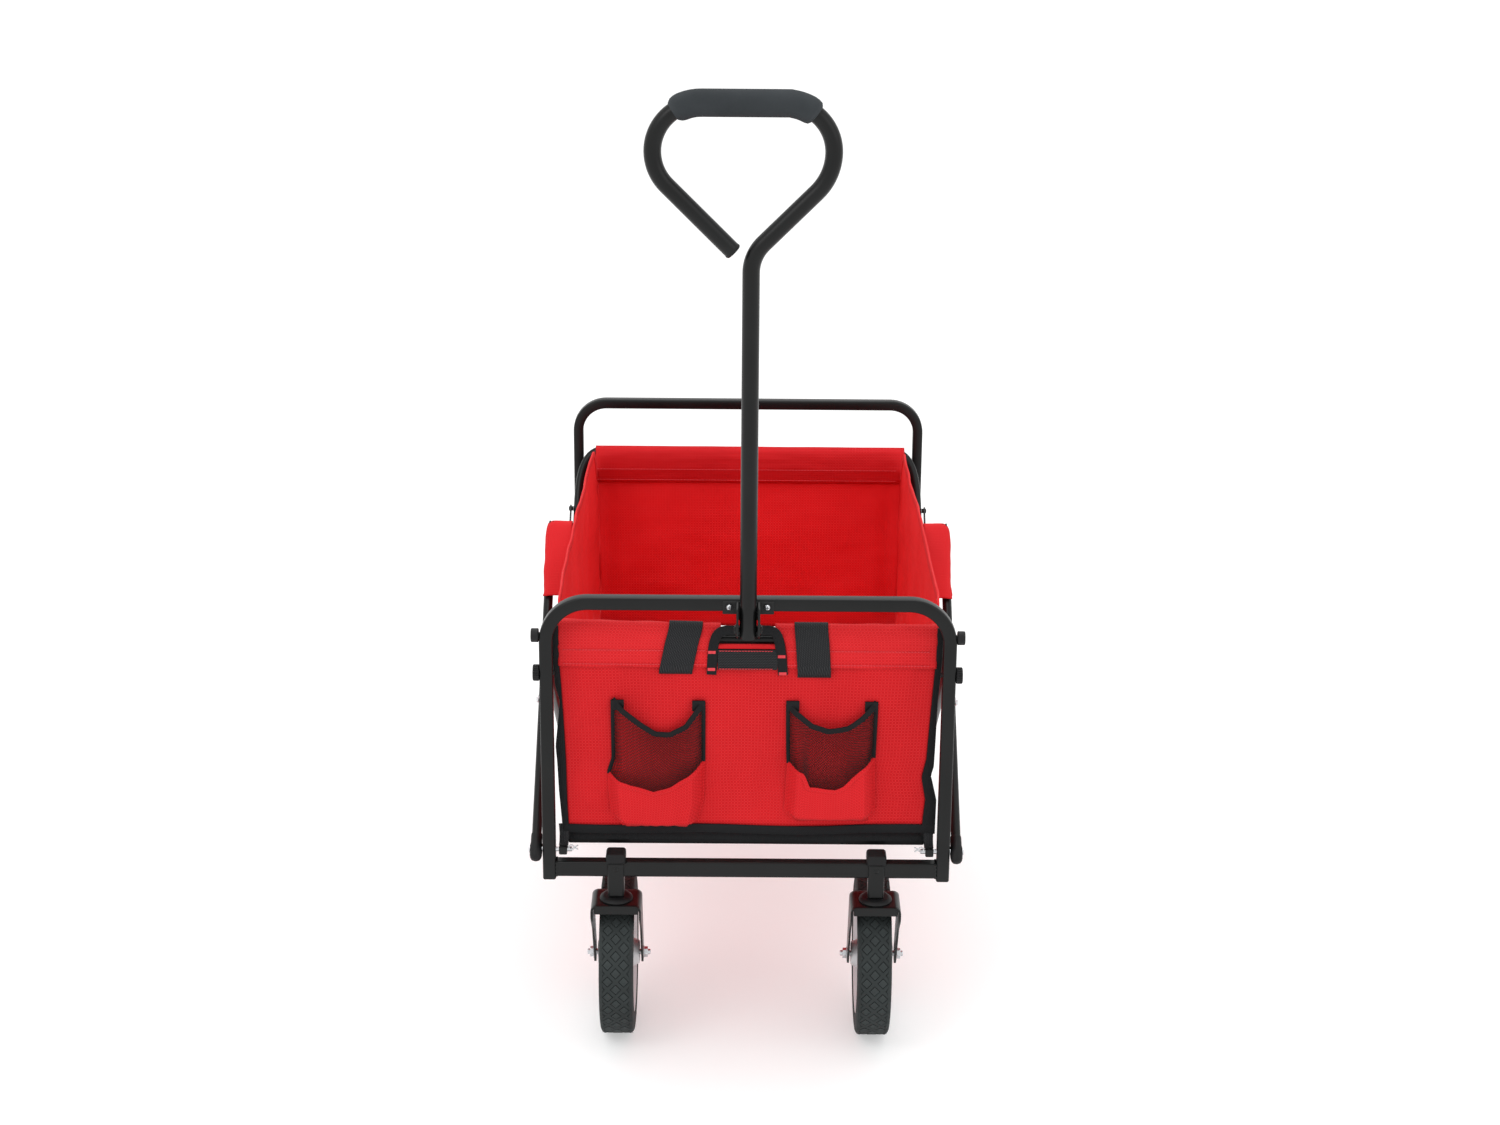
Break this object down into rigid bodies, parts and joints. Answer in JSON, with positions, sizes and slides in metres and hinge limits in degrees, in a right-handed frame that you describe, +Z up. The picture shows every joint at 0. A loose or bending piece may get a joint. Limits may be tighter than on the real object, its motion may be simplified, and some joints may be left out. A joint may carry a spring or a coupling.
{
  "type": "folding wagon",
  "caption": "Folding camp wagon with a tube frame, scissor sides, fabric tub, front pockets, swivelling front wheels and an upright loop pull handle.",
  "frame": {"origin": "on the ground under the middle of the bounding box", "axes": "+Z up, -Y towards the pull handle and the castors, +X to the right of someone looking along +Y"},
  "size_m": [0.536, 0.8672, 1.2096],
  "materials": {
    "black_paint": "satin black powder coat",
    "zinc": "zinc plated",
    "black_plastic": "moulded",
    "foam": "closed-cell foam",
    "tyre_rubber": "matt",
    "wheel_plastic": "light grey, moulded",
    "red_cloth": "woven polyester",
    "red_lining": "woven polyester, coated inside"
  },
  "bodies": {
    "front_frame": {"front_hoop": "black_paint", "front_crossbar": "black_paint", "handle_bracket": "black_paint", "bracket_screw_left": "zinc", "bracket_screw_right": "zinc", "front_pivot_pin_left": "zinc", "front_pivot_pin_right": "zinc", "ribbed_knob_left": "black_plastic", "ribbed_knob_right": "black_plastic", "lock_knob_left": "black_plastic", "lock_knob_right": "black_plastic"},
    "handle": {"handle_tube": "black_paint", "handle_grip": "foam", "handle_pin": "black_paint"},
    "castor_left": {"castor_fork_left": "black_paint", "castor_axle_left": "zinc"},
    "front_wheel_left": {"front_tyre_left": "tyre_rubber", "front_hub_left": "wheel_plastic"},
    "castor_right": {"castor_fork_right": "black_paint", "castor_axle_right": "zinc"},
    "front_wheel_right": {"front_tyre_right": "tyre_rubber", "front_hub_right": "wheel_plastic"},
    "front_brace": {"brace_front_left": "black_paint", "brace_front_right": "black_paint", "brace_cap_left": "black_plastic", "brace_cap_right": "black_plastic", "top_pin_left": "zinc", "top_pin_right": "zinc"},
    "front_rim": {"front_rim_hoop": "black_paint", "cross_bolt_front_left": "zinc", "cross_bolt_front_right": "zinc"},
    "rear_brace": {"brace_rear_left": "black_paint", "brace_rear_right": "black_paint"},
    "rear_rim": {"rear_rim_hoop": "black_paint", "cross_bolt_rear_left": "zinc", "cross_bolt_rear_right": "zinc", "guide_strap_left": "black_paint", "guide_strap_right": "black_paint"},
    "rear_frame": {"rear_hoop": "black_paint", "rear_crossbar": "black_paint", "rear_axle": "zinc", "rear_pivot_pin_left": "zinc", "rear_pivot_pin_right": "zinc"},
    "rear_wheel_left": {"rear_tyre_left": "tyre_rubber", "rear_hub_left": "wheel_plastic"},
    "rear_wheel_right": {"rear_tyre_right": "tyre_rubber", "rear_hub_right": "wheel_plastic"},
    "floor_front": {"floor_frame_front": "black_paint", "floor_mat_front": "red_lining"},
    "floor_rear": {"floor_frame_rear": "black_paint", "floor_mat_rear": "red_lining"},
    "front_cloth": {"fabric_front": "red_cloth", "pocket_left": "red_cloth", "pocket_right": "red_cloth"},
    "rear_cloth": {"fabric_rear": "red_cloth"},
    "side_cloth": {"fabric_side_left": "red_lining", "fabric_side_right": "red_lining", "side_cover_left": "red_cloth", "side_cover_right": "red_cloth"}
  },
  "joints": [
    {"name": "handle_pivot", "type": "hinge", "parent": "front_frame", "child": "handle", "pos_m": [0, -0.4115, 0.57], "axis": [1, 0, 0], "range_deg": [0, 120]},
    {"name": "castor_swivel_left", "type": "hinge", "parent": "front_frame", "child": "castor_left", "pos_m": [-0.1595, -0.39, 0.206], "axis": [0, 0, 1], "continuous": true},
    {"name": "front_roll_left", "type": "hinge", "parent": "castor_left", "child": "front_wheel_left", "pos_m": [-0.1595, -0.332, 0.1016], "axis": [1, 0, 0], "continuous": true},
    {"name": "castor_swivel_right", "type": "hinge", "parent": "front_frame", "child": "castor_right", "pos_m": [0.1595, -0.39, 0.206], "axis": [0, 0, 1], "continuous": true},
    {"name": "front_roll_right", "type": "hinge", "parent": "castor_right", "child": "front_wheel_right", "pos_m": [0.1595, -0.332, 0.1016], "axis": [1, 0, 0], "continuous": true},
    {"name": "fold", "type": "hinge", "parent": "front_frame", "child": "front_brace", "pos_m": [0, -0.39, 0.272], "axis": [1, 0, 0], "range_deg": [0, 34.24], "deforming": ["fabric_side_left", "fabric_side_right"]},
    {"name": "front_rim_turn", "type": "hinge", "parent": "front_brace", "child": "front_rim", "pos_m": [0, -0.22738, 0.40286], "axis": [1, 0, 0], "range_deg": [-68.5, 0.02]},
    {"name": "rear_brace_turn", "type": "hinge", "parent": "front_brace", "child": "rear_brace", "pos_m": [0, -0.029, 0.5625], "axis": [1, 0, 0], "range_deg": [-68.5, 0.02]},
    {"name": "rear_rim_turn", "type": "hinge", "parent": "rear_brace", "child": "rear_rim", "pos_m": [0, 0.16938, 0.40286], "axis": [1, 0, 0], "range_deg": [-0.02, 68.5]},
    {"name": "rear_frame_turn", "type": "hinge", "parent": "rear_brace", "child": "rear_frame", "pos_m": [0, 0.332, 0.272], "axis": [1, 0, 0], "range_deg": [-0.02, 34.26]},
    {"name": "front_cloth_turn", "type": "hinge", "parent": "front_rim", "child": "front_cloth", "pos_m": [0, -0.368, 0.5405], "axis": [1, 0, 0], "range_deg": [-0.02, 34.26]},
    {"name": "rear_cloth_turn", "type": "hinge", "parent": "rear_rim", "child": "rear_cloth", "pos_m": [0, 0.31, 0.5625], "axis": [1, 0, 0], "range_deg": [-34.26, 0.02]},
    {"name": "side_cloth_turn", "type": "hinge", "parent": "front_brace", "child": "side_cloth", "pos_m": [0, -0.029, 0.5625], "axis": [1, 0, 0], "range_deg": [-34.26, 0.02]},
    {"name": "floor_front_turn", "type": "hinge", "parent": "front_frame", "child": "floor_front", "pos_m": [0, -0.39, 0.272], "axis": [1, 0, 0], "range_deg": [-0.02, 68.06]},
    {"name": "floor_rear_turn", "type": "hinge", "parent": "floor_front", "child": "floor_rear", "pos_m": [0, -0.029, 0.272], "axis": [1, 0, 0], "range_deg": [-136.1, 0.02]},
    {"name": "rear_roll_left", "type": "hinge", "parent": "rear_frame", "child": "rear_wheel_left", "pos_m": [-0.2115, 0.332, 0.1016], "axis": [1, 0, 0], "continuous": true},
    {"name": "rear_roll_right", "type": "hinge", "parent": "rear_frame", "child": "rear_wheel_right", "pos_m": [0.2115, 0.332, 0.1016], "axis": [1, 0, 0], "continuous": true}
  ],
  "couplings": [
    {"joint": "front_rim_turn", "follows": "fold", "ratio": -2},
    {"joint": "rear_brace_turn", "follows": "fold", "ratio": -2},
    {"joint": "rear_rim_turn", "follows": "fold", "ratio": 2},
    {"joint": "rear_frame_turn", "follows": "fold", "ratio": 1},
    {"joint": "front_cloth_turn", "follows": "fold", "ratio": 1},
    {"joint": "rear_cloth_turn", "follows": "fold", "ratio": -1},
    {"joint": "side_cloth_turn", "follows": "fold", "ratio": -1},
    {"joint": "floor_front_turn", "follows": "fold", "ratio": 1.9873},
    {"joint": "floor_rear_turn", "follows": "fold", "ratio": -3.9746}
  ]
}
